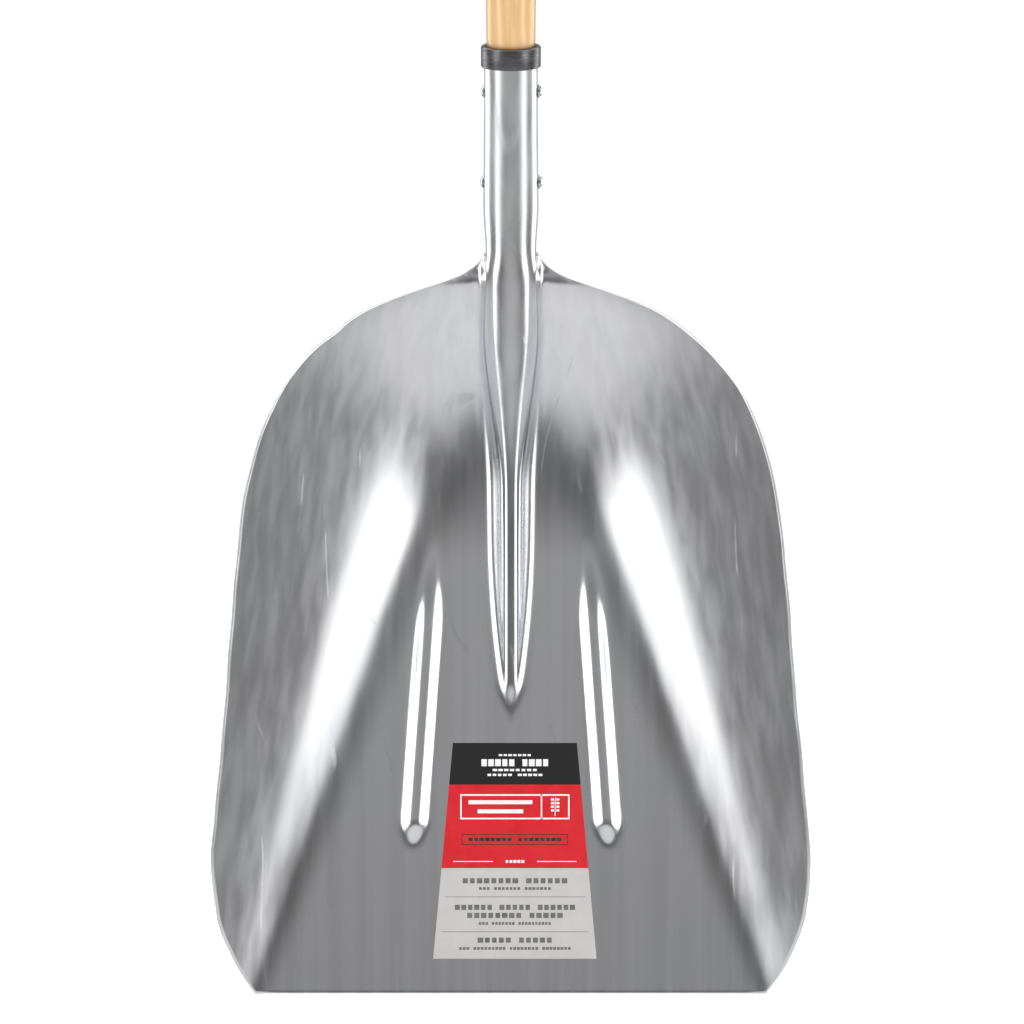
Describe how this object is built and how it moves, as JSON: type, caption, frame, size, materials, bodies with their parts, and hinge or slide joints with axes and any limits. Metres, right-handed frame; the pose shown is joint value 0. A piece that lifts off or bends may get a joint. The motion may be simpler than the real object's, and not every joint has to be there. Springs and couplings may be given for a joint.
{
  "type": "grain scoop shovel",
  "caption": "Wide aluminium scoop shovel with raised sides, a hollow-backed ridge and rolled socket, on a short hardwood handle with a D-grip.",
  "frame": {"origin": "middle of the straight leading edge of the pan, on the floor's inner face", "axes": "+Z from the leading edge up to the grip, -Y out of the open side of the pan, +X to the right seen from that side"},
  "size_m": [0.3904, 0.2493, 1.1786],
  "materials": {
    "scoop_aluminium": "rolled sheet, satin with fine lengthwise lines",
    "collar_steel": "dark gun-metal, brushed",
    "handle_wood": "pale hardwood, clear lacquer",
    "rivet_steel": "bright steel",
    "yoke_steel": "black baked enamel, satin",
    "label_film": "printed film in black, red and grey bands"
  },
  "bodies": {
    "root": {"scoop": "scoop_aluminium", "socket_collar": "collar_steel", "handle_shaft": "handle_wood", "lower_socket_rivet": "rivet_steel", "upper_socket_rivet": "rivet_steel", "lower_socket_washer": "rivet_steel", "upper_socket_washer": "rivet_steel", "grip_yoke": "yoke_steel", "yoke_rivet": "rivet_steel", "yoke_washer": "rivet_steel", "grip_crossbar": "handle_wood", "grip_rod": "rivet_steel", "grip_washer_left": "rivet_steel", "grip_washer_right": "rivet_steel", "product_label": "label_film"}
  },
  "joints": []
}
